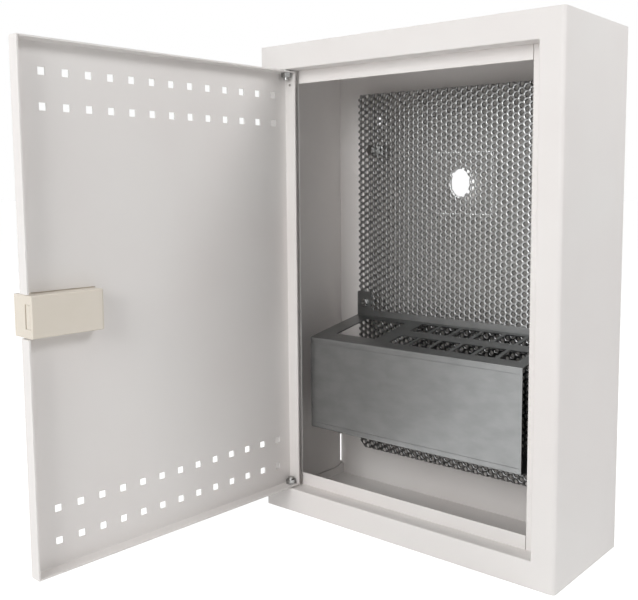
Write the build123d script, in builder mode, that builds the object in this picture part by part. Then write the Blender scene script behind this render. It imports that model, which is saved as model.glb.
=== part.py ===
from build123d import *
import math
import os

os.makedirs("parts", exist_ok=True)

# A wall cabinet for home telephone, data and television wiring, folded from sheet steel.
# X runs to the right, Y runs from the door side to the wall, Z is up.
# The origin is the middle of the underside of the box. All sizes are millimetres.

# Box
width = 300.0
height = 425.0
depth = 110.0
sheet = 1.2
box_bend = 3.0

# Front frame: border, recess for the door, and the flange that the door stops against
side_border = 20.0
end_border = 21.5
recess = 15.5
side_stop = 12.0
end_stop = 11.2
frame_bend = 1.0
seam = 0.6
floor_flange = 9.0
flange_gap = 0.8
flange_tab_height = 12.5
flange_tab_length = 10.0
rear_slot_depth = 3.0
rear_slot_height = 29.0
rear_slot_rise = 13.5

# Back panel: wall fixing holes, the cable knock-out and the round cable hole in it
fixing_span_x = 198.0
fixing_span_z = 302.0
fixing_hole = 7.0
knockout_width = 60.0
knockout_height = 57.0
knockout_x = 0.0
knockout_z = 303.0
knockout_slit = 0.9
knockout_bridge = 5.0
knockout_hole = 28.0
knockout_hole_x = -3.5

# Perforated mounting plate on four studs
plate_inside_bracket = 1.0
plate_bottom = 41.8
plate_height = 345.5
plate_sheet = 1.2
plate_front = 89.5
plate_top_radius = 4.0
plate_bottom_cut = 7.0
hole_pitch = 6.0
hole_size = 4.0
hole_every = 5
hole_margin = 6.0
cable_hole_width = 19.5
cable_hole_height = 24.5
cable_hole_x = 7.6
cable_hole_z = 303.4
stud_size = 6.0
stud_hole = 6.6
stud_span_x = 177.0
stud_high = 334.5
stud_low = 94.3
spacer_flats = 10.0
spacer_bore = 6.4
washer_outside = 12.5
washer_thick = 1.6
nut_flats = 10.0
nut_height = 5.0
stud_end = 2.5

# Socket bracket: a folded tray fixed to the plate, with a row of cut-outs in its top
bracket_width = 220.0
bracket_sheet = 1.0
bracket_front = 20.4
bracket_rear_high = 175.0
bracket_front_high = 162.0
bracket_front_low = 77.2
bracket_rear_low = 66.0
bracket_bend = 1.5
line_in = 5.1
line_end = 1.5
line_width = 0.5
line_depth = 0.4
bracket_top_flange = 5.6
bracket_low_flange = 9.6
bracket_low_hole = 3.2
bracket_low_hole_in = 34.0
ear_width = 17.3
ear_rise = 23.3
ear_radius = 2.0
outlet_size = 46.0
outlet_in = 18.2
outlet_back = 9.0
jack_width = 18.6
jack_depth = 20.0
jack_pitch = 22.1
jack_in = 9.6
jack_from_outlet = 12.0
jack_back_row = 6.0
jack_front_row = 38.4
bracket_screw = 4.0
bracket_screw_hole = 4.4
cross_length = 4.2
cross_width = 0.9
cross_depth = 1.2
bracket_screw_head = 8.0
bracket_screw_head_height = 2.6
bracket_screw_in = 9.2
bracket_screw_up = 12.0
bracket_nut_flats = 7.0
bracket_nut_height = 3.2

# Door: a tray with four flanges, two rows of square vents at the top and at the bottom
door_open_angle = 92.0
door_proud = 1.5
hinge_gap = 2.0
free_gap = 0.8
door_end_gap = 1.15
door_depth = 12.8
door_bend = 3.0
door_inner_bend = 0.6
pin_in = 5.4
pin_back = 6.5
vent_size = 5.5
vent_pitch = 18.1
vent_hinge_side = 14.0
vent_row_pitch = 24.5
vent_side = 23.0
vent_top = 21.4
vent_low = 19.8
earth_hole = 2.6
earth_hole_down = 11.5

# Hinges: a bolt through the frame and the door flange, held by a nut inside the door
pin_size = 5.0
pin_clearance = 0.06
pin_door_hole = 5.2
pin_head = 7.4
pin_head_height = 3.0
pin_play = 0.1
thrust_washer = 1.0
thrust_washer_outside = 8.6
hinge_nut_flats = 8.0
hinge_nut_height = 4.0
pin_end = 2.2

# Latch: a plastic case in a notch of the door's free edge, with a bolt slid by the thumb
latch_z = 211.3
latch_height = 30.0
latch_length = 56.4
latch_inset = 1.6
latch_inner = 14.8
latch_outer = 9.8
latch_edge_cut = 0.6
latch_end_round = 2.5
latch_notch_gap = 0.8
bezel_thick = 1.6
bezel_overlap = 3.0
bezel_start = 8.0
clip_reach = 1.6
clip_thick = 2.0
clip_length = 30.0
hook_length = 14.0
bolt_height = 17.0
bolt_thick = 7.0
bolt_length = 36.0
bolt_in = 6.0
bolt_nose = 2.0
bolt_clearance = 0.25
bolt_travel = 6.5
thumb_place = 24.0
thumb_width = 10.0
thumb_height = 16.0
thumb_pocket_depth = 4.6
thumb_pad = 4.4
thumb_ribs = 3
thumb_rib_depth = 0.8
stem_width = 5.0
stem_height = 8.0
stem_in_bolt = 3.0
keeper_clearance = 0.8

# Planes and places worked out from the sizes above
plate_width = bracket_width - 2 * plate_inside_bracket
front_y = -depth / 2
back_y = depth / 2
recess_width = width - 2 * side_border
recess_height = height - 2 * end_border
middle_z = height / 2
back_inner_y = back_y - sheet
plate_front_y = front_y + plate_front
plate_back_y = plate_front_y + plate_sheet
plate_middle_z = plate_bottom + plate_height / 2
bracket_front_y = front_y + bracket_front
bracket_back_y = plate_front_y


# A plane that looks at the front of the box, at a distance from the front face
def front_plane(distance):
    return Plane(origin=(0, front_y + distance, 0), x_dir=(1, 0, 0), z_dir=(0, -1, 0))


# The door's own frame: u runs from the hinge edge to the free edge, v from its outer face inwards
door_width = recess_width - hinge_gap - free_gap
door_height = recess_height - 2 * door_end_gap
door_bottom = end_border + door_end_gap
door_top = door_bottom + door_height
pin_x = -recess_width / 2 + hinge_gap + pin_in
door_front_y = front_y - door_proud
pin_y = door_front_y + pin_back
turn = math.radians(door_open_angle)
u_dir = Vector(math.cos(turn), -math.sin(turn), 0)
v_dir = Vector(math.sin(turn), math.cos(turn), 0)
door_corner = Vector(pin_x, pin_y, 0) - u_dir * pin_in - v_dir * pin_back
door_plan = Plane(origin=door_corner, x_dir=u_dir, z_dir=(0, 0, 1))
door_face = Plane(origin=door_corner, x_dir=u_dir, z_dir=-v_dir)


# A plane across the door at a height, where a place is its distance along the door and into it
def door_level(z):
    return door_plan.offset(z)


# A plane that looks at the door's outer face, at a distance into the door
def door_layer(v):
    return door_face.offset(-v)


# Shell: the front frame and both side walls, folded from one sheet and open at the back
with BuildPart() as shell_wrap:
    with BuildSketch(Plane.XY) as wrap_plan:
        with Locations((0, -sheet / 2)):
            Rectangle(width, depth - sheet)
        fillet(wrap_plan.vertices().group_by(Axis.Y)[0], box_bend)
    extrude(amount=height)
    with BuildSketch(Plane.XY) as wrap_inside:
        with Locations((0, sheet / 2)):
            Rectangle(width - 2 * sheet, depth - sheet)
        fillet(wrap_inside.vertices().group_by(Axis.Y)[0], box_bend - sheet)
    extrude(amount=height, mode=Mode.SUBTRACT)
    with BuildSketch(front_plane(0)):
        with Locations((0, middle_z)):
            Rectangle(recess_width + 2 * sheet, recess_height + 2 * sheet)
    extrude(amount=-(recess + sheet))
    with BuildSketch(front_plane(0)):
        with Locations((0, middle_z)):
            Rectangle(recess_width, recess_height)
    extrude(amount=-recess, mode=Mode.SUBTRACT)
    with BuildSketch(front_plane(0)):
        with Locations((0, middle_z)):
            Rectangle(recess_width - 2 * side_stop, recess_height - 2 * end_stop)
    extrude(amount=-(recess + sheet), mode=Mode.SUBTRACT)
    recess_edge = shell_wrap.faces().sort_by(Axis.Y)[0].inner_wires()[0].edges()
    fillet(recess_edge, frame_bend)
    # The top and bottom stop flanges butt against the side ones with an open seam
    with BuildSketch(front_plane(recess)):
        for side in (-1, 1):
            for end in (-1, 1):
                seam_x = side * (recess_width / 2 - side_stop - seam / 2)
                seam_z = middle_z + end * (recess_height - end_stop) / 2
                with Locations((seam_x, seam_z)):
                    Rectangle(seam, end_stop)
    extrude(amount=-sheet, mode=Mode.SUBTRACT)
    # Holes for the hinge bolts through the top and bottom of the recess
    with BuildSketch(Plane.XY.offset(end_border - sheet)):
        with Locations((pin_x, pin_y)):
            Circle(pin_size / 2 + pin_clearance)
    extrude(amount=sheet, mode=Mode.SUBTRACT)
    with BuildSketch(Plane.XY.offset(height - end_border)):
        with Locations((pin_x, pin_y)):
            Circle(pin_size / 2 + pin_clearance)
    extrude(amount=sheet, mode=Mode.SUBTRACT)
    # Keeper slot for the latch bolt, in the side of the recess
    with BuildSketch(Plane.YZ.offset(recess_width / 2)):
        with Locations((door_front_y + bolt_in + bolt_thick / 2, latch_z)):
            Rectangle(bolt_thick + 2 * keeper_clearance, bolt_height + 2 * keeper_clearance)
    extrude(amount=sheet, mode=Mode.SUBTRACT)
    # Narrow slot at the rear edge of the left side wall, near the floor
    with BuildSketch(Plane.XY.offset(rear_slot_rise)):
        with Locations((-(width - sheet) / 2, back_inner_y - rear_slot_depth / 2)):
            Rectangle(sheet, rear_slot_depth)
    extrude(amount=rear_slot_height, mode=Mode.SUBTRACT)
shell_wrap.part.label = "shell_wrap"
export_step(shell_wrap.part, "parts/shell_wrap.step")


# Top and bottom panels: flat sheets with a flange turned along each side wall, which stands a
# little off the wall and rises to a tab at the rear
panel_width = width - 2 * sheet
panel_depth = depth - 2 * sheet
flange_x = panel_width / 2 - flange_gap
flange_front_y = box_bend - panel_depth / 2
flange_rear_y = panel_depth / 2
tab_y = flange_rear_y - flange_tab_length
for panel_name, panel_z, inward in (("bottom_panel", 0.0, 1), ("top_panel", height, -1)):
    with BuildPart() as end_panel:
        with BuildSketch(Plane.XY.offset(panel_z)):
            Rectangle(panel_width, panel_depth)
        extrude(amount=inward * sheet)
        front_corners = end_panel.edges().filter_by(Axis.Z).group_by(Axis.Y)[0]
        fillet(front_corners, box_bend - sheet)
        for side in (-1, 1):
            with BuildSketch(Plane.YZ.offset(side * flange_x)):
                with BuildLine():
                    Polyline(
                        (flange_front_y, panel_z),
                        (flange_rear_y, panel_z),
                        (flange_rear_y, panel_z + inward * flange_tab_height),
                        (tab_y, panel_z + inward * floor_flange),
                        (flange_front_y, panel_z + inward * floor_flange),
                        close=True,
                    )
                make_face()
            extrude(amount=-side * sheet)
    end_panel.part.label = panel_name
    export_step(end_panel.part, "parts/" + panel_name + ".step")


# Back panel: a flat sheet with wall fixing holes and a knock-out, which is held by four bridges
# and has a round cable hole
with BuildPart() as back_panel:
    with BuildSketch(front_plane(depth)):
        with Locations((0, middle_z)):
            Rectangle(width, height)
        with Locations((0, middle_z)):
            with GridLocations(fixing_span_x, fixing_span_z, 2, 2):
                Circle(fixing_hole / 2, mode=Mode.SUBTRACT)
        with Locations((knockout_x, knockout_z)):
            Rectangle(knockout_width, knockout_height, mode=Mode.SUBTRACT)
            Rectangle(knockout_width - 2 * knockout_slit, knockout_height - 2 * knockout_slit)
            Rectangle(knockout_width, knockout_bridge)
            Rectangle(knockout_bridge, knockout_height)
        with Locations((knockout_hole_x, knockout_z)):
            Circle(knockout_hole / 2, mode=Mode.SUBTRACT)
    extrude(amount=sheet)
back_panel.part.label = "back_panel"
export_step(back_panel.part, "parts/back_panel.step")


# The four places of the mounting studs, on a plane that faces the front
stud_places = [
    (side * stud_span_x / 2, stud_z) for stud_z in (stud_low, stud_high) for side in (-1, 1)
]
nut_front_y = plate_front_y - washer_thick - nut_height


# Studs welded to the back panel, and the six-sided tubes that hold the plate away from it
with BuildPart() as mounting_studs:
    with BuildSketch(front_plane(depth - sheet)):
        with Locations(*stud_places):
            Circle(stud_size / 2)
    extrude(amount=back_inner_y - nut_front_y + stud_end)
mounting_studs.part.label = "mounting_studs"
export_step(mounting_studs.part, "parts/mounting_studs.step")

with BuildPart() as stud_spacers:
    with BuildSketch(front_plane(depth - sheet)):
        with Locations(*stud_places):
            RegularPolygon(spacer_flats / 2, 6, major_radius=False)
            Circle(spacer_bore / 2, mode=Mode.SUBTRACT)
    extrude(amount=back_inner_y - plate_back_y)
stud_spacers.part.label = "stud_spacers"
export_step(stud_spacers.part, "parts/stud_spacers.step")


# Mounting plate: perforated sheet with an oval cable hole. Its holes stand in staggered
# columns, and every fifth hole of every fifth column is cut here.
column_pitch = hole_pitch * math.sqrt(3) / 2
column_step = hole_every * column_pitch
row_step = hole_every * hole_pitch
column_count = int((plate_width / 2 - hole_margin) / column_step)
row_count = int((plate_height / 2 - hole_margin) / row_step)
clear_of_hole = max(cable_hole_width, cable_hole_height) / 2 + hole_pitch
clear_of_stud = washer_outside / 2 + hole_pitch
screw_x = bracket_width / 2 - bracket_screw_in
screw_z = bracket_rear_high + bracket_screw_up
fixings = stud_places + [(-screw_x, screw_z), (screw_x, screw_z)]
perforation = []
for column in range(-column_count, column_count + 1):
    for row in range(-row_count - 1, row_count + 1):
        hole_x = column * column_step
        hole_z = plate_middle_z + (row + 0.5 * (column % 2)) * row_step
        near_cable = math.hypot(hole_x - cable_hole_x, hole_z - cable_hole_z) < clear_of_hole
        near_fixing = any(
            math.hypot(hole_x - x, hole_z - z) < clear_of_stud for x, z in fixings
        )
        near_end = abs(hole_z - plate_middle_z) > plate_height / 2 - hole_margin
        if not (near_cable or near_fixing or near_end):
            perforation.append((hole_x, hole_z))

with BuildPart() as mounting_plate:
    with BuildSketch(front_plane(plate_front)) as plate_outline:
        with Locations((0, plate_middle_z)):
            Rectangle(plate_width, plate_height)
        chamfer(plate_outline.vertices().group_by(Axis.Y)[0], plate_bottom_cut)
        fillet(plate_outline.vertices().group_by(Axis.Y)[-1], plate_top_radius)
        with Locations((cable_hole_x, cable_hole_z)):
            Ellipse(cable_hole_width / 2, cable_hole_height / 2, mode=Mode.SUBTRACT)
        with Locations(*stud_places):
            Circle(stud_hole / 2, mode=Mode.SUBTRACT)
        with Locations((-screw_x, screw_z), (screw_x, screw_z)):
            Circle(bracket_screw_hole / 2, mode=Mode.SUBTRACT)
        with Locations(*perforation):
            RegularPolygon(hole_size / 2, 6, mode=Mode.SUBTRACT)
    extrude(amount=-plate_sheet)
mounting_plate.part.label = "mounting_plate"
export_step(mounting_plate.part, "parts/mounting_plate.step")

with BuildPart() as plate_washers:
    with BuildSketch(front_plane(plate_front)):
        with Locations(*stud_places):
            Circle(washer_outside / 2)
            Circle(stud_hole / 2, mode=Mode.SUBTRACT)
    extrude(amount=washer_thick)
plate_washers.part.label = "plate_washers"
export_step(plate_washers.part, "parts/plate_washers.step")

with BuildPart() as plate_nuts:
    with BuildSketch(front_plane(plate_front - washer_thick)):
        with Locations(*stud_places):
            RegularPolygon(nut_flats / 2, 6, major_radius=False)
            Circle(stud_size / 2, mode=Mode.SUBTRACT)
    extrude(amount=nut_height)
plate_nuts.part.label = "plate_nuts"
export_step(plate_nuts.part, "parts/plate_nuts.step")


# Socket bracket: folded from one sheet, open at both ends. Its top slopes up to the wall and
# carries the cut-outs, and two ears rise from its rear flange.
bracket_slope = math.atan2(bracket_rear_high - bracket_front_high, bracket_back_y - bracket_front_y)
slope_normal = (0, -math.sin(bracket_slope), math.cos(bracket_slope))
bracket_top_plane = Plane(
    origin=(0, bracket_back_y, bracket_rear_high), x_dir=(1, 0, 0), z_dir=slope_normal
)
ear_x = (bracket_width - ear_width) / 2
line_spacing = bracket_front_high - bracket_front_low - 2 * line_in
with BuildPart() as socket_bracket:
    with BuildSketch(Plane.YZ) as bracket_side:
        with BuildLine():
            Polyline(
                (bracket_front_y, bracket_front_low),
                (bracket_front_y, bracket_front_high),
                (bracket_back_y, bracket_rear_high),
                (bracket_back_y, bracket_rear_low),
                close=True,
            )
        make_face()
        fillet(bracket_side.vertices().group_by(Axis.X)[0], bracket_bend)
        offset(amount=-bracket_sheet, mode=Mode.SUBTRACT)
    extrude(amount=bracket_width / 2, both=True)
    # Open rear, with a flange turned up from the bottom
    with BuildSketch(front_plane(plate_front)):
        rear_open_low = bracket_rear_low + bracket_low_flange
        rear_open_height = bracket_rear_high - bracket_sheet * 2 - rear_open_low
        with Locations((0, rear_open_low + rear_open_height / 2)):
            Rectangle(bracket_width, rear_open_height)
        with Locations((0, bracket_rear_low + bracket_low_flange / 2)):
            with GridLocations(bracket_width - 2 * bracket_low_hole_in, 0, 2, 1):
                Circle(bracket_low_hole / 2)
    extrude(amount=bracket_sheet, mode=Mode.SUBTRACT)
    # Shallow fold lines along the top and the bottom of the front
    with BuildSketch(front_plane(bracket_front)):
        with Locations((0, (bracket_front_high + bracket_front_low) / 2)):
            with GridLocations(0, line_spacing, 1, 2):
                Rectangle(bracket_width - 2 * line_end, line_width)
    extrude(amount=-line_depth, mode=Mode.SUBTRACT)
    # Rear top flange and ears
    with BuildSketch(front_plane(plate_front)) as bracket_rear:
        with Locations((0, bracket_rear_high - bracket_sheet)):
            Rectangle(
                bracket_width,
                bracket_sheet + bracket_top_flange,
                align=(Align.CENTER, Align.MIN),
            )
        for side in (-1, 1):
            with Locations((side * ear_x, bracket_rear_high)):
                Rectangle(ear_width, ear_rise, align=(Align.CENTER, Align.MIN))
        fillet(bracket_rear.vertices().group_by(Axis.Y)[-1], ear_radius)
        with Locations((-screw_x, screw_z), (screw_x, screw_z)):
            Circle(bracket_screw_hole / 2, mode=Mode.SUBTRACT)
    extrude(amount=bracket_sheet)
    # Cut-outs for one wide outlet and two rows of jacks in the sloping top
    with BuildSketch(bracket_top_plane):
        outlet_x = outlet_in + outlet_size / 2 - bracket_width / 2
        with Locations((outlet_x, -outlet_back - outlet_size / 2)):
            Rectangle(outlet_size, outlet_size)
        jack_room = bracket_width - outlet_in - outlet_size - jack_from_outlet - jack_in
        jack_columns = int((jack_room + jack_pitch - jack_width) / jack_pitch)
        jack_row_width = jack_width + jack_pitch * (jack_columns - 1)
        jack_middle = bracket_width / 2 - jack_in - jack_row_width / 2
        for jack_row in (jack_back_row, jack_front_row):
            with Locations((jack_middle, -jack_row - jack_depth / 2)):
                with GridLocations(jack_pitch, 0, jack_columns, 1):
                    Rectangle(jack_width, jack_depth)
    extrude(amount=-bracket_sheet, mode=Mode.SUBTRACT)
socket_bracket.part.label = "socket_bracket"
export_step(socket_bracket.part, "parts/socket_bracket.step")


# Screws through the ears and the plate, with nuts behind the plate
with BuildPart() as bracket_screws:
    with BuildSketch(front_plane(plate_front - bracket_sheet)):
        with Locations((-screw_x, screw_z), (screw_x, screw_z)):
            Circle(bracket_screw_head / 2)
    extrude(amount=bracket_screw_head_height)
    head_rims = bracket_screws.edges().group_by(Axis.Y)[0]
    chamfer(head_rims, bracket_screw_head_height / 3)
    with BuildSketch(front_plane(plate_front - bracket_sheet - bracket_screw_head_height)):
        for side in (-1, 1):
            with Locations((side * screw_x, screw_z)):
                Rectangle(cross_length, cross_width)
                Rectangle(cross_width, cross_length)
    extrude(amount=-cross_depth, mode=Mode.SUBTRACT)
    with BuildSketch(front_plane(plate_front - bracket_sheet)):
        with Locations((-screw_x, screw_z), (screw_x, screw_z)):
            Circle(bracket_screw / 2)
    extrude(amount=-(bracket_sheet + plate_sheet + bracket_nut_height + 1.5))
bracket_screws.part.label = "bracket_screws"
export_step(bracket_screws.part, "parts/bracket_screws.step")

with BuildPart() as bracket_nuts:
    with BuildSketch(front_plane(plate_front + plate_sheet)):
        with Locations((-screw_x, screw_z), (screw_x, screw_z)):
            RegularPolygon(bracket_nut_flats / 2, 6, major_radius=False)
            Circle(bracket_screw / 2, mode=Mode.SUBTRACT)
    extrude(amount=-bracket_nut_height)
bracket_nuts.part.label = "bracket_nuts"
export_step(bracket_nuts.part, "parts/bracket_nuts.step")


# Door tray, standing open at its rest position
door_middle = (door_width / 2, middle_z)
latch_far = door_width - latch_inset - latch_length
latch_middle_u = door_width - latch_inset - latch_length / 2
vent_columns = 1 + int((door_width - vent_side - vent_hinge_side) / vent_pitch)
vent_middle_u = door_width - vent_side - vent_pitch * (vent_columns - 1) / 2
with BuildPart() as door_tray:
    with BuildSketch(door_face):
        with Locations(door_middle):
            Rectangle(door_width, door_height)
    extrude(amount=-door_depth)
    outer_rim = door_tray.faces().sort_by(Axis(door_face.origin, door_face.z_dir))[-1].edges()
    fillet(outer_rim, door_bend)
    with BuildSketch(door_layer(sheet)):
        with Locations(door_middle):
            Rectangle(door_width - 2 * sheet, door_height - 2 * sheet)
    extrude(amount=-(door_depth - sheet), mode=Mode.SUBTRACT)
    inward_axis = Axis(door_corner, v_dir)
    inner_floor = door_tray.faces().filter_by(inward_axis).sort_by(inward_axis)[1]
    fillet(inner_floor.edges(), door_inner_bend)
    # Open seams where the top and bottom flanges meet the side flanges
    for seam_level in (door_bottom, door_top - sheet):
        with BuildSketch(door_level(seam_level)):
            seam_depth = door_depth - door_bend
            for seam_u in (sheet + seam / 2, door_width - sheet - seam / 2):
                with Locations((seam_u, door_bend + seam_depth / 2)):
                    Rectangle(seam, seam_depth)
        extrude(amount=sheet, mode=Mode.SUBTRACT)
    # Holes for the hinge bolts, and a small earthing hole in the hinge flange
    with BuildSketch(door_level(door_bottom)):
        with Locations((pin_in, pin_back)):
            Circle(pin_door_hole / 2)
    extrude(amount=door_height, mode=Mode.SUBTRACT)
    earth_plane = Plane(
        origin=door_corner + v_dir * pin_back + Vector(0, 0, door_top - earth_hole_down),
        x_dir=v_dir,
        z_dir=u_dir,
    )
    with BuildSketch(earth_plane):
        Circle(earth_hole / 2)
    extrude(amount=sheet, mode=Mode.SUBTRACT)
    # Vents
    with BuildSketch(door_face):
        top_rows = door_top - vent_top - vent_row_pitch / 2
        low_rows = door_bottom + vent_low + vent_row_pitch / 2
        with Locations((vent_middle_u, top_rows), (vent_middle_u, low_rows)):
            with GridLocations(vent_pitch, vent_row_pitch, vent_columns, 2):
                Rectangle(vent_size, vent_size)
    extrude(amount=-sheet, mode=Mode.SUBTRACT)
    # Notch for the latch through the panel and the free-edge flange
    with BuildSketch(door_face):
        notch_length = door_width - latch_far + latch_notch_gap
        with Locations((door_width - notch_length / 2, latch_z)):
            Rectangle(notch_length, latch_height + 2 * latch_notch_gap)
    extrude(amount=-door_depth, mode=Mode.SUBTRACT)
door_tray.part.label = "door_tray"
export_step(door_tray.part, "parts/door_tray.step")


# Hinge bolts: the heads sit in the hollow border, the threaded ends inside the door
with BuildPart() as hinge_bolts:
    for frame_inner, way in ((end_border, 1), (height - end_border, -1)):
        head_level = frame_inner - way * (sheet + pin_play + pin_head_height)
        with BuildSketch(door_level(head_level)):
            with Locations((pin_in, pin_back)):
                Circle(pin_head / 2)
        extrude(amount=way * pin_head_height)
        with BuildSketch(door_level(head_level)):
            with Locations((pin_in, pin_back)):
                Circle(pin_size / 2)
        shank = pin_head_height + pin_play + sheet + door_end_gap + sheet + hinge_nut_height
        extrude(amount=way * (shank + pin_end))
hinge_bolts.part.label = "hinge_bolts"
export_step(hinge_bolts.part, "parts/hinge_bolts.step")

with BuildPart() as hinge_washers:
    for door_end, way in ((door_bottom, -1), (door_top, 1)):
        with BuildSketch(door_level(door_end)):
            with Locations((pin_in, pin_back)):
                Circle(thrust_washer_outside / 2)
                Circle(pin_door_hole / 2, mode=Mode.SUBTRACT)
        extrude(amount=way * thrust_washer)
hinge_washers.part.label = "hinge_washers"
export_step(hinge_washers.part, "parts/hinge_washers.step")

with BuildPart() as hinge_nuts:
    for door_end, way in ((door_bottom + sheet, 1), (door_top - sheet, -1)):
        with BuildSketch(door_level(door_end)):
            with Locations((pin_in, pin_back)):
                RegularPolygon(hinge_nut_flats / 2, 6, major_radius=False, rotation=30)
                Circle(pin_size / 2, mode=Mode.SUBTRACT)
        extrude(amount=way * hinge_nut_height)
hinge_nuts.part.label = "hinge_nuts"
export_step(hinge_nuts.part, "parts/hinge_nuts.step")


# Latch case: a block through the notch, with a tunnel for the bolt and a pocket for the thumb
case_free_u = door_width - latch_inset
case_thick = latch_outer + latch_inner
tunnel_length = bolt_length + 2 * bolt_clearance
thumb_u = case_free_u - thumb_place
thumb_room = thumb_width + bolt_travel + 2 * bolt_clearance
with BuildPart() as latch_case:
    with BuildSketch(door_layer(-latch_outer)):
        with Locations((latch_middle_u, latch_z)):
            Rectangle(latch_length, latch_height)
    extrude(amount=-case_thick)
    far_edges = latch_case.edges().filter_by(Axis.Z).sort_by(Axis(door_corner, u_dir))[:2]
    fillet(far_edges, latch_end_round)
    case_sides = latch_case.faces().sort_by(Axis(door_face.origin, door_face.z_dir))
    chamfer(case_sides[0].edges() + case_sides[-1].edges(), latch_edge_cut)
    # Bezel against the outside of the door, and a clip and a hook behind the panel
    with BuildSketch(door_layer(-bezel_thick)):
        bezel_length = latch_length - bezel_start + bezel_overlap
        with Locations((latch_far - bezel_overlap + bezel_length / 2, latch_z)):
            Rectangle(bezel_length, latch_height + 2 * bezel_overlap)
    extrude(amount=-bezel_thick)
    with BuildSketch(door_layer(sheet)):
        with Locations((latch_middle_u, latch_z - latch_height / 2 - clip_reach / 2)):
            Rectangle(clip_length, clip_reach)
        with Locations((latch_far - clip_reach / 2, latch_z)):
            Rectangle(clip_reach, hook_length)
    extrude(amount=-clip_thick)
    # Tunnel from the free end
    with BuildSketch(door_layer(bolt_in - bolt_clearance)):
        with Locations((case_free_u - tunnel_length / 2, latch_z)):
            Rectangle(tunnel_length, bolt_height + 2 * bolt_clearance)
    extrude(amount=-(bolt_thick + 2 * bolt_clearance), mode=Mode.SUBTRACT)
    # Thumb pocket, and the slot for the stem
    with BuildSketch(door_layer(-latch_outer)):
        with Locations((thumb_u + bolt_travel / 2, latch_z)):
            Rectangle(thumb_room, thumb_height + 2 * bolt_clearance)
    extrude(amount=-thumb_pocket_depth, mode=Mode.SUBTRACT)
    with BuildSketch(door_layer(-latch_outer + thumb_pocket_depth)):
        with Locations((thumb_u + bolt_travel / 2, latch_z)):
            stem_room = stem_width + bolt_travel + 2 * bolt_clearance
            Rectangle(stem_room, stem_height + 2 * bolt_clearance)
    extrude(amount=-(latch_outer - thumb_pocket_depth + bolt_in), mode=Mode.SUBTRACT)
latch_case.part.label = "latch_case"
export_step(latch_case.part, "parts/latch_case.step")


# Latch bolt, drawn back so that its nose is level with the end of the case
with BuildPart() as latch_bolt:
    with BuildSketch(door_layer(bolt_in)):
        with Locations((case_free_u - bolt_length / 2, latch_z)):
            Rectangle(bolt_length, bolt_height)
    extrude(amount=-bolt_thick)
    nose_edges = latch_bolt.edges().filter_by(Axis.Z).sort_by(Axis(door_corner, u_dir))[-2:]
    fillet(nose_edges, bolt_nose)
    with BuildSketch(door_layer(bolt_in)):
        with Locations((thumb_u, latch_z)):
            Rectangle(stem_width, stem_height)
    extrude(amount=-stem_in_bolt, mode=Mode.SUBTRACT)
latch_bolt.part.label = "latch_bolt"
export_step(latch_bolt.part, "parts/latch_bolt.step")


# Thumb piece: a ribbed pad whose stem is pressed into the bolt
pad_outer = -latch_outer + thumb_pocket_depth - bolt_clearance - thumb_pad
pad_inner = pad_outer + thumb_pad
with BuildPart() as latch_thumb:
    with BuildSketch(door_layer(pad_outer)):
        with Locations((thumb_u, latch_z)):
            Rectangle(thumb_width, thumb_height)
    extrude(amount=-thumb_pad)
    with BuildSketch(door_layer(pad_outer)):
        with Locations((thumb_u, latch_z)):
            with GridLocations(thumb_width / (thumb_ribs + 1), 0, thumb_ribs, 1):
                Rectangle(thumb_width / (thumb_ribs + 1) / 2, thumb_height)
    extrude(amount=-thumb_rib_depth, mode=Mode.SUBTRACT)
    with BuildSketch(door_layer(pad_inner)):
        with Locations((thumb_u, latch_z)):
            Rectangle(stem_width, stem_height)
    extrude(amount=-(bolt_in + stem_in_bolt - pad_inner))
latch_thumb.part.label = "latch_thumb"
export_step(latch_thumb.part, "parts/latch_thumb.step")
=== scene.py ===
# %% [markdown]
# A wall cabinet for home wiring
#
# The imported model holds every sheet, nut and bolt of the cabinet at its true size and place.
# This lesson dresses it: it gives each part its finish, builds the perforated mounting plate with
# all of its holes, of which the model carries only a sample, and sets up a small studio.

# %% Open the imported model
import bpy
import math
from mathutils import Matrix, Vector


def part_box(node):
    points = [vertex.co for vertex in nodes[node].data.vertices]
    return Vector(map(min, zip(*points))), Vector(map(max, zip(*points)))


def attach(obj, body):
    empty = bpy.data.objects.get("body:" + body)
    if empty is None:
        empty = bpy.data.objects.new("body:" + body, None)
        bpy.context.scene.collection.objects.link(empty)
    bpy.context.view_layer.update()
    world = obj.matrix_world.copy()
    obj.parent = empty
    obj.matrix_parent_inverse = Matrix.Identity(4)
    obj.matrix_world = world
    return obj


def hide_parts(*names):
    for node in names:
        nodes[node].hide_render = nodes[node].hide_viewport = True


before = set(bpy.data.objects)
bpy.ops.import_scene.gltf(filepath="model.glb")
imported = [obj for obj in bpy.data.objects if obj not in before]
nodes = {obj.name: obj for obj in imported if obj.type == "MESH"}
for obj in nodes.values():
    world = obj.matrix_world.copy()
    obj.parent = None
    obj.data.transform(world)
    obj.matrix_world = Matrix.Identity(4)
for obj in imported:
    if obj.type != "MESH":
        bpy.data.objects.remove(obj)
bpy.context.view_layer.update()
MM = 0.001
print("nodes:", len(nodes))

# %% [markdown]
# Small helpers
#
# Operators act on whatever is selected, and the import leaves every node selected. So each step
# starts by letting go of everything, then takes hold of the one object that it works on.


# %% Helpers for operators
def let_go():
    if bpy.context.object and bpy.context.object.mode != "OBJECT":
        bpy.ops.object.mode_set(mode="OBJECT")
    bpy.ops.object.select_all(action="DESELECT")


def take(obj):
    let_go()
    obj.select_set(True)
    bpy.context.view_layer.objects.active = obj


def edit_all(obj):
    take(obj)
    bpy.ops.object.mode_set(mode="EDIT")
    bpy.ops.mesh.select_all(action="SELECT")


def apply_place(obj):
    take(obj)
    bpy.ops.object.transform_apply(location=True, rotation=True, scale=True)


def join(parts):
    let_go()
    for part in parts:
        part.select_set(True)
    bpy.context.view_layer.objects.active = parts[0]
    bpy.ops.object.join()
    return parts[0]


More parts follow.
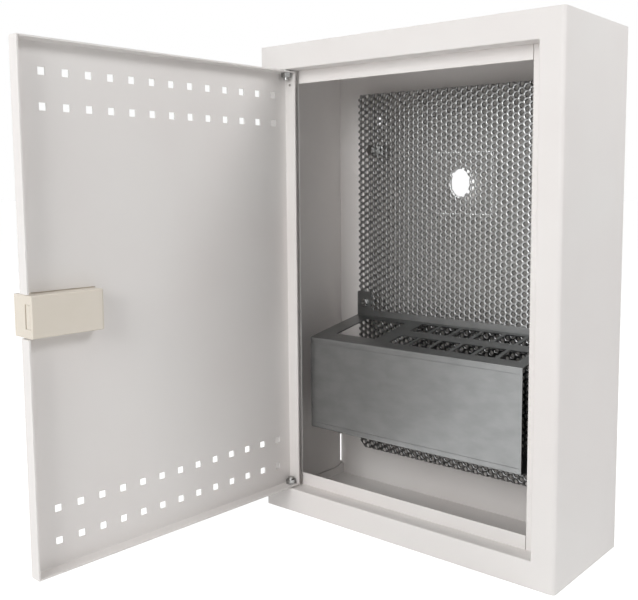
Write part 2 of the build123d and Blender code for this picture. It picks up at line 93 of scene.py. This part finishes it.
def finish_modifiers(obj):
    take(obj)
    for name in [m.name for m in obj.modifiers]:
        bpy.ops.object.modifier_apply(modifier=name)


# %% [markdown]
# Finishes
#
# Every finish is made of nodes that read the Object coordinates, so a pattern stays on its
# sheet when the door turns. The helpers lay out what all finishes share: a Principled shader, a
# noise that varies its colour and roughness a little, and a fine noise that drives its bump.
# A noise stays near its middle most of the time, so the colour ramp only spans that part.

# %% Helpers for materials
ramp_start = 0.35
ramp_end = 0.65


def new_finish(name, colour, roughness, metallic=0.0):
    finish = bpy.data.materials.new(name)
    finish.use_nodes = True
    shader = finish.node_tree.nodes["Principled BSDF"]
    shader.inputs["Base Color"].default_value = (*colour, 1.0)
    shader.inputs["Roughness"].default_value = roughness
    shader.inputs["Metallic"].default_value = metallic
    return finish, shader


def add_noise(finish, scale, detail, stretch=(1.0, 1.0, 1.0)):
    tree = finish.node_tree
    place = tree.nodes.new("ShaderNodeTexCoord")
    mapping = tree.nodes.new("ShaderNodeMapping")
    mapping.inputs["Scale"].default_value = stretch
    noise = tree.nodes.new("ShaderNodeTexNoise")
    noise.inputs["Scale"].default_value = scale
    noise.inputs["Detail"].default_value = detail
    tree.links.new(place.outputs["Object"], mapping.inputs["Vector"])
    tree.links.new(mapping.outputs["Vector"], noise.inputs["Vector"])
    return noise.outputs["Fac"]


def vary_colour(finish, shader, driver, first, second, start=ramp_start, end=ramp_end):
    tree = finish.node_tree
    ramp = tree.nodes.new("ShaderNodeValToRGB")
    first_stop, second_stop = ramp.color_ramp.elements
    first_stop.position = start
    first_stop.color = (*first, 1.0)
    second_stop.position = end
    second_stop.color = (*second, 1.0)
    tree.links.new(driver, ramp.inputs["Fac"])
    tree.links.new(ramp.outputs["Color"], shader.inputs["Base Color"])


def vary_roughness(finish, shader, driver, low, high):
    tree = finish.node_tree
    spread = tree.nodes.new("ShaderNodeMapRange")
    spread.inputs["To Min"].default_value = low
    spread.inputs["To Max"].default_value = high
    tree.links.new(driver, spread.inputs["Value"])
    tree.links.new(spread.outputs["Result"], shader.inputs["Roughness"])


def add_bump(finish, shader, driver, strength, height):
    tree = finish.node_tree
    bump = tree.nodes.new("ShaderNodeBump")
    bump.inputs["Strength"].default_value = strength
    bump.inputs["Distance"].default_value = height
    tree.links.new(driver, bump.inputs["Height"])
    tree.links.new(bump.outputs["Normal"], shader.inputs["Normal"])


def wear(finish, names):
    for name in names:
        slots = nodes[name].data.materials
        for index in range(len(slots)):
            slots[index] = finish
    print(finish.name, "on", len(names), "nodes")


# %% [markdown]
# White powder coat
#
# The folded sheets are sprayed with powder and baked. The coat is a warm white with a soft
# sheen, and up close it has the fine dimples of orange peel. A noise of about a millimetre
# drives a very shallow bump. A picture of paint would need a wrap on every sheet, so a second,
# slow noise lets the tone and the sheen drift over the large panels instead.

# %% White powder coat
coat_white = (0.82, 0.79, 0.77)
coat_darker = (0.81, 0.775, 0.755)
coat_lighter = (0.83, 0.805, 0.785)
coat_drift_scale = 9.0
dimple_scale = 900.0
dimple_height = 0.1 * MM
coat, coat_shader = new_finish("white_powder_coat", coat_white, 0.42)
coat_drift = add_noise(coat, coat_drift_scale, 2.0)
vary_colour(coat, coat_shader, coat_drift, coat_darker, coat_lighter)
vary_roughness(coat, coat_shader, coat_drift, 0.36, 0.48)
add_bump(coat, coat_shader, add_noise(coat, dimple_scale, 2.0), 0.12, dimple_height)
wear(coat, ["shell_wrap", "top_panel", "bottom_panel", "back_panel", "door_tray"])

# %% [markdown]
# Galvanised sheet
#
# The bracket is bare galvanised sheet, rolled along its length. It is metal all through, so its
# tone comes from what it mirrors, blurred by its roughness. Zinc could be drawn as large
# crystals, but on this sheet they are too fine to see. So a cloudy noise at a few millimetres
# stands for them, and a noise stretched along X gives the faint rolling lines.

# %% Galvanised sheet
zinc_grey = (0.25, 0.255, 0.255)
zinc_darker = (0.235, 0.24, 0.24)
zinc_lighter = (0.265, 0.27, 0.27)
cloud_scale = 110.0
rolling_scale = 500.0
rolling_stretch = (0.05, 1.0, 1.0)
rolling_height = 0.1 * MM
zinc, zinc_shader = new_finish("galvanised_sheet", zinc_grey, 0.34, 1.0)
zinc_cloud = add_noise(zinc, cloud_scale, 6.0, (0.5, 1.0, 1.0))
vary_colour(zinc, zinc_shader, zinc_cloud, zinc_darker, zinc_lighter)
zinc_lines = add_noise(zinc, rolling_scale, 4.0, rolling_stretch)
vary_roughness(zinc, zinc_shader, zinc_lines, 0.28, 0.40)
add_bump(zinc, zinc_shader, zinc_lines, 0.12, rolling_height)
wear(zinc, ["socket_bracket"])

# %% [markdown]
# Zinc-plated fasteners
#
# Nuts, washers, bolts and screws are zinc-plated steel: smooth grey metal that shows small,
# sharp highlights. They are too small for scratches to be drawn one by one, so one fine noise
# gives the slight unevenness that handling leaves, in colour and in roughness.

# %% Zinc-plated fasteners
plated_grey = (0.35, 0.35, 0.345)
plated_darker = (0.28, 0.28, 0.275)
plated_lighter = (0.42, 0.42, 0.415)
handling_scale = 700.0
plated, plated_shader = new_finish("bright_zinc", plated_grey, 0.2, 1.0)
handling = add_noise(plated, handling_scale, 4.0)
vary_colour(plated, plated_shader, handling, plated_darker, plated_lighter)
vary_roughness(plated, plated_shader, handling, 0.12, 0.28)
wear(
    plated,
    [
        "mounting_studs", "stud_spacers", "plate_washers", "plate_nuts", "bracket_screws",
        "bracket_nuts", "hinge_bolts", "hinge_washers", "hinge_nuts",
    ],
)

# %% [markdown]
# Latch plastic
#
# The latch is moulded in a warm off-white plastic, a little yellower than the coat beside it.
# A mould that is spark-eroded leaves a fine grain, which softens the highlights. A bump is
# enough for it, because the grain is far too fine to change the outline.

# %% Latch plastic
plastic_cream = (0.76, 0.70, 0.61)
plastic_darker = (0.745, 0.685, 0.595)
plastic_lighter = (0.775, 0.715, 0.63)
plastic_tone_scale = 25.0
grain_scale = 1500.0
grain_height = 0.08 * MM
plastic, plastic_shader = new_finish("latch_plastic", plastic_cream, 0.5)
plastic_tone = add_noise(plastic, plastic_tone_scale, 2.0)
vary_colour(plastic, plastic_shader, plastic_tone, plastic_darker, plastic_lighter)
add_bump(plastic, plastic_shader, add_noise(plastic, grain_scale, 2.0), 0.15, grain_height)
wear(plastic, ["latch_case", "latch_bolt", "latch_thumb"])

# %% [markdown]
# Plate steel
#
# The mounting plate is bare rolled steel, smoother than the bracket, so it mirrors the inside of
# the door as a brighter field with a soft edge. The walls of the holes are painted near black:
# painted shade, so the holes look dark. The walls could have a finish of their own, but one that
# knows how deep it is needs no sorting of faces. It reads the depth from the Object coordinates,
# and turns from the bright steel to the painted shade across the first fraction of a millimetre
# behind the front.

# %% Plate steel
plate_low, plate_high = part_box("mounting_plate")
plate_bright = (0.36, 0.365, 0.365)
# The hole walls get a near-black colour: painted shade that darkens the holes.
hole_wall_painted_shade = (0.06, 0.06, 0.06)
shade_start_depth = 0.05 * MM
shade_full_depth = 0.3 * MM
plate_cloud_scale = 120.0
plate_steel, plate_shader = new_finish("plate_steel", plate_bright, 0.2, 1.0)
plate_cloud = add_noise(plate_steel, plate_cloud_scale, 5.0)
vary_roughness(plate_steel, plate_shader, plate_cloud, 0.16, 0.26)
plate_tree = plate_steel.node_tree
place_on_plate = plate_tree.nodes.new("ShaderNodeTexCoord")
place_split = plate_tree.nodes.new("ShaderNodeSeparateXYZ")
# This ramp is the mask of the painted shade in the holes, by depth behind the front.
hole_shade_ramp = plate_tree.nodes.new("ShaderNodeMapRange")
hole_shade_ramp.inputs["From Min"].default_value = plate_low.y + shade_start_depth
hole_shade_ramp.inputs["From Max"].default_value = plate_low.y + shade_full_depth
plate_tree.links.new(place_on_plate.outputs["Object"], place_split.inputs["Vector"])
plate_tree.links.new(place_split.outputs["Y"], hole_shade_ramp.inputs["Value"])
hole_shade_mask = hole_shade_ramp.outputs["Result"]
vary_colour(plate_steel, plate_shader, hole_shade_mask, plate_bright, hole_wall_painted_shade, 0.0, 1.0)
plate_thick = plate_high.y - plate_low.y
print("plate:", round(plate_thick / MM, 2), "mm thick")

# %% [markdown]
# Perforated plate: one cell
#
# The holes stand in staggered columns, 6 mm apart, so the sheet divides into hexagons with one
# hole in each. Cutting thousands of holes with a boolean would be slow and would leave long thin
# faces. Instead one hexagon is modelled and repeated. It has four bands, each bridged
# between two rings: the flat front, the small rounded lip that the punch leaves, the wall of the
# hole and the flat back. The back has six-sided holes, because nobody sees it.

# %% Perforated plate: one cell
hole_pitch = 6.0 * MM
hole_radius = 2.0 * MM
lip_radius = 2.15 * MM
lip_depth = 0.15 * MM
hexagon_sides = 6
lip_sides = 12
same_point = 0.01 * MM
column_pitch = hole_pitch * math.sqrt(3) / 2
hexagon_corner = hole_pitch / math.sqrt(3)
plate_middle = (plate_low + plate_high) / 2


def add_ring(radius, sides, depth):
    let_go()
    bpy.ops.mesh.primitive_circle_add(vertices=sides, radius=radius, location=(0, 0, -depth))
    apply_place(bpy.context.object)
    return bpy.context.object


def add_band(first, second):
    band = join([add_ring(*first), add_ring(*second)])
    edit_all(band)
    bpy.ops.mesh.bridge_edge_loops()
    bpy.ops.object.mode_set(mode="OBJECT")
    return band


front_rim = (hexagon_corner, hexagon_sides, 0.0)
lip_start = (lip_radius, lip_sides, 0.0)
lip_end = (hole_radius, lip_sides, lip_depth)
back_hole = (hole_radius, hexagon_sides, plate_thick)
back_rim = (hexagon_corner, hexagon_sides, plate_thick)
rings = [front_rim, lip_start, lip_end, back_hole, back_rim]
plate = join([add_band(first, second) for first, second in zip(rings, rings[1:])])
plate.name = "perforated_plate"
edit_all(plate)
bpy.ops.mesh.remove_doubles(threshold=same_point)
bpy.ops.mesh.normals_make_consistent(inside=False)
bpy.ops.object.mode_set(mode="OBJECT")
print("cell faces:", len(plate.data.polygons))

# %% [markdown]
# Perforated plate: a sheet of cells
#
# The first circle point lies on +Y, so a hexagon corner points up. The cell is turned by a
# twelfth of a circle to put flat sides above and below, and stood upright in the plane of the
# sheet. Two cells side by side, half a pitch apart in height, are the repeat. Array modifiers
# lay the repeat out and weld it, which is quick and leaves one clean mesh. A cell's hole is
# brought to the middle of the plate, and the sheet reaches a little past the plate's edges.

# %% Perforated plate: a sheet of cells
weld_distance = 0.05 * MM
repeat_width = 2 * column_pitch
column_pairs = 2 * math.ceil((plate_high.x - plate_low.x) / repeat_width / 2) + 2
rows = 2 * math.ceil((plate_high.z - plate_low.z) / hole_pitch / 2) + 3


def lay_out(obj, count, step):
    array = obj.modifiers.new("Array", "ARRAY")
    array.use_relative_offset = False
    array.use_constant_offset = True
    array.constant_offset_displace = step
    array.count = count
    array.use_merge_vertices = True
    array.merge_threshold = weld_distance


flat_sides_up = Matrix.Rotation(math.radians(30), 4, "Z")
stand_up = Matrix.Rotation(math.radians(90), 4, "X")
plate.data.transform(stand_up @ flat_sides_up)
lay_out(plate, 2, (column_pitch, 0, hole_pitch / 2))
lay_out(plate, column_pairs, (repeat_width, 0, 0))
lay_out(plate, rows, (0, 0, hole_pitch))
finish_modifiers(plate)
middle_column = column_pairs // 2 * repeat_width
middle_row = (rows - 1) // 2 * hole_pitch
to_place = (plate_middle.x - middle_column, plate_low.y, plate_middle.z - middle_row)
plate.data.transform(Matrix.Translation(to_place))
print("cells laid out:", 2 * column_pairs * rows)

# %% [markdown]
# Perforated plate: trimmed to size
#
# On the real plate the shears cut straight through the holes at the edges. Bisect does the same:
# it slices the sheet along a plane, throws away what lies outside and closes the cut. Four cuts
# make the edges, one cut across each bottom corner makes the chamfer, and three make each
# rounded top corner.

# %% Perforated plate: trimmed to size
corner_chamfer = 7.0 * MM
corner_radius = 4.0 * MM
corner_angles = (22.5, 45.0, 67.5)


def trim(obj, point, outward):
    edit_all(obj)
    bpy.ops.mesh.bisect(plane_co=point, plane_no=outward, use_fill=True, clear_outer=True)
    bpy.ops.object.mode_set(mode="OBJECT")


trim(plate, (plate_low.x, 0, 0), (-1, 0, 0))
trim(plate, (plate_high.x, 0, 0), (1, 0, 0))
trim(plate, (0, 0, plate_low.z), (0, 0, -1))
trim(plate, (0, 0, plate_high.z), (0, 0, 1))
for side, edge_x in ((-1, plate_low.x), (1, plate_high.x)):
    trim(plate, (edge_x, 0, plate_low.z + corner_chamfer), (side, 0, -1))
    centre_x = edge_x - side * corner_radius
    centre_z = plate_high.z - corner_radius
    for angle in corner_angles:
        out_x = side * math.cos(math.radians(angle))
        out_z = math.sin(math.radians(angle))
        touch = (centre_x + out_x * corner_radius, 0, centre_z + out_z * corner_radius)
        trim(plate, touch, (out_x, 0, out_z))
print("sheet faces:", len(plate.data.polygons))

# %% [markdown]
# Perforated plate: openings
#
# The oval cable hole and the holes for the four studs and two screws run through the
# perforation, so their edges come out ragged, as they are on the real plate. Here a boolean is
# the right tool. All cutters are joined first, so the plate is cut only once. The studs and
# screws are found from the boxes of their nodes, a radius in from each end.

# %% Perforated plate: openings
cable_hole_centre = Vector((7.6 * MM, plate_middle.y, 303.4 * MM))
cable_hole_width = 19.5 * MM
cable_hole_height = 24.5 * MM
stud_radius = 3.0 * MM
stud_hole_size = 6.6 * MM
screw_head_radius = 4.0 * MM
screw_hole_size = 4.4 * MM
cutter_sides = 48
cutter_length = 6 * plate_thick


def add_cutter(centre, width, height):
    let_go()
    bpy.ops.mesh.primitive_cylinder_add(
        vertices=cutter_sides, radius=0.5, depth=1.0, location=centre,
        rotation=(math.pi / 2, 0, 0),
    )
    cutter = bpy.context.object
    cutter.scale = (width, height, cutter_length)
    apply_place(cutter)
    return cutter


def node_centres(name, radius, rows_up):
    low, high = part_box(name)
    xs = (low.x + radius, high.x - radius)
    zs = (low.z + radius, high.z - radius)[:rows_up]
    return [Vector((x, plate_middle.y, z)) for x in xs for z in zs]


cutters = [add_cutter(cable_hole_centre, cable_hole_width, cable_hole_height)]
for centre in node_centres("mounting_studs", stud_radius, 2):
    cutters.append(add_cutter(centre, stud_hole_size, stud_hole_size))
for centre in node_centres("bracket_screws", screw_head_radius, 1):
    cutters.append(add_cutter(centre, screw_hole_size, screw_hole_size))
openings = len(cutters)
cutter = join(cutters)
opening_cut = plate.modifiers.new("Boolean", "BOOLEAN")
opening_cut.operation = "DIFFERENCE"
opening_cut.object = cutter
opening_cut.solver = "EXACT"
finish_modifiers(plate)
bpy.data.objects.remove(cutter)
print("openings cut:", openings)

# %% [markdown]
# Perforated plate: into the model
#
# Smooth shading lets each lip catch the light as one round highlight. The plate then stands in
# for the model's own plate, rides with the cabinet, and takes its place among the materials.

# %% Perforated plate: into the model
take(plate)
bpy.ops.object.shade_smooth()
plate.data.materials.clear()
plate.data.materials.append(plate_steel)
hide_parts("mounting_plate")
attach(plate, "cabinet")
print("plate faces:", len(plate.data.polygons))

# %% [markdown]
# Floor and backdrop
#
# The cabinet stands on a plain white floor before a white world. A white that came from strong
# lamps would wash out the coat. So the white is given only to rays that look: those of the
# camera, of mirror reflections and of glass. Rays that carry light see a dim world, and the
# floor glows a little for the eye, but still takes the soft shadow of the cabinet.

# %% Floor and backdrop
floor_width = 30.0
floor_below = 0.5 * MM
floor_glow = 0.78
world_light = 0.16
world_white = 1.0


def rays_that_look(tree):
    path = tree.nodes.new("ShaderNodeLightPath")
    answer = path.outputs["Is Camera Ray"]
    for kind in ("Is Glossy Ray", "Is Transmission Ray"):
        either = tree.nodes.new("ShaderNodeMath")
        either.operation = "MAXIMUM"
        tree.links.new(answer, either.inputs[0])
        tree.links.new(path.outputs[kind], either.inputs[1])
        answer = either.outputs[0]
    return answer


let_go()
bpy.ops.mesh.primitive_plane_add(size=floor_width, location=(0, 0, -floor_below))
floor = bpy.context.object
floor.name = "floor"
floor_paint, floor_shader = new_finish("floor_paint", (0.92, 0.92, 0.92), 0.9)
floor_tree = floor_paint.node_tree
glow = floor_tree.nodes.new("ShaderNodeMath")
glow.operation = "MULTIPLY"
glow.inputs[1].default_value = floor_glow
floor_tree.links.new(rays_that_look(floor_tree), glow.inputs[0])
floor_shader.inputs["Emission Color"].default_value = (1, 1, 1, 1)
floor_tree.links.new(glow.outputs[0], floor_shader.inputs["Emission Strength"])
floor.data.materials.append(floor_paint)

world = bpy.data.worlds.new("white_studio")
bpy.context.scene.world = world
world.use_nodes = True
world_tree = world.node_tree
sky = world_tree.nodes["Background"]
sky.inputs["Color"].default_value = (1, 1, 1, 1)
brightness = world_tree.nodes.new("ShaderNodeMapRange")
brightness.inputs["To Min"].default_value = world_light
brightness.inputs["To Max"].default_value = world_white
world_tree.links.new(rays_that_look(world_tree), brightness.inputs["Value"])
world_tree.links.new(brightness.outputs["Result"], sky.inputs["Strength"])
print("floor and world ready")

# %% [markdown]
# Lights
#
# A large soft lamp in front of the cabinet does most of the work. A weaker one from the upper
# left brightens the top and the door's edge, and a small one close by on the right lights the
# side wall from above, so it falls off towards the floor. The inside of the open door turns
# away from that lamp, so it comes out a little darker than the frame. Area lamps are used
# throughout, because their size sets how soft a shadow's edge is.

# %% Lights
aim_at = Vector((0.0, -0.05, 0.22))
lamps = {
    "front": {"place": (0.2, -1.8, 0.9), "size": 1.0, "watts": 20.0},
    "top_left": {"place": (-1.3, -1.0, 1.8), "size": 0.8, "watts": 7.4},
    "right": {"place": (0.9, 0.16, 0.97), "size": 0.4, "watts": 5.6},
}
for name, facts in lamps.items():
    let_go()
    bpy.ops.object.light_add(type="AREA", location=facts["place"])
    lamp = bpy.context.object
    lamp.name = name
    lamp.data.shape = "SQUARE"
    lamp.data.size = facts["size"]
    lamp.data.energy = facts["watts"]
    direction = aim_at - Vector(facts["place"])
    lamp.rotation_euler = direction.to_track_quat("-Z", "Y").to_euler()
print("lamps:", len(lamps))

# %% [markdown]
# Camera
#
# The camera stands close to the cabinet, to the right of the open door, and looks slightly down.
# Close by, the near edges spread and the far ones shrink, which is much of the likeness, so its
# distance matters as much as its angle. The lens is shifted a little, because the photograph was
# cropped off centre.

# %% Camera
image_width = 638
sensor_width = 36.0
focal_pixels = 847.6
camera_place = (0.41843, -0.60354, 0.30195)
camera_turn = 38.474
camera_pitch = 5.690
camera_roll = -0.097
axis_right_of_middle = 56.22
axis_above_middle = 31.05

camera_data = bpy.data.cameras.new("camera")
camera = bpy.data.objects.new("camera", camera_data)
bpy.context.scene.collection.objects.link(camera)
camera_data.sensor_fit = "HORIZONTAL"
camera_data.sensor_width = sensor_width
camera_data.lens = focal_pixels / image_width * sensor_width
camera_data.shift_x = -axis_right_of_middle / image_width
camera_data.shift_y = -axis_above_middle / image_width
camera_data.clip_start = 0.01
turn = Matrix.Rotation(math.radians(camera_turn), 4, "Z")
pitch = Matrix.Rotation(math.radians(90.0 - camera_pitch), 4, "X")
roll = Matrix.Rotation(math.radians(camera_roll), 4, "Z")
camera.matrix_world = Matrix.Translation(camera_place) @ turn @ pitch @ roll
bpy.context.scene.camera = camera
bpy.context.scene.view_settings.view_transform = "Standard"
print("lens:", round(camera_data.lens, 2), "mm")
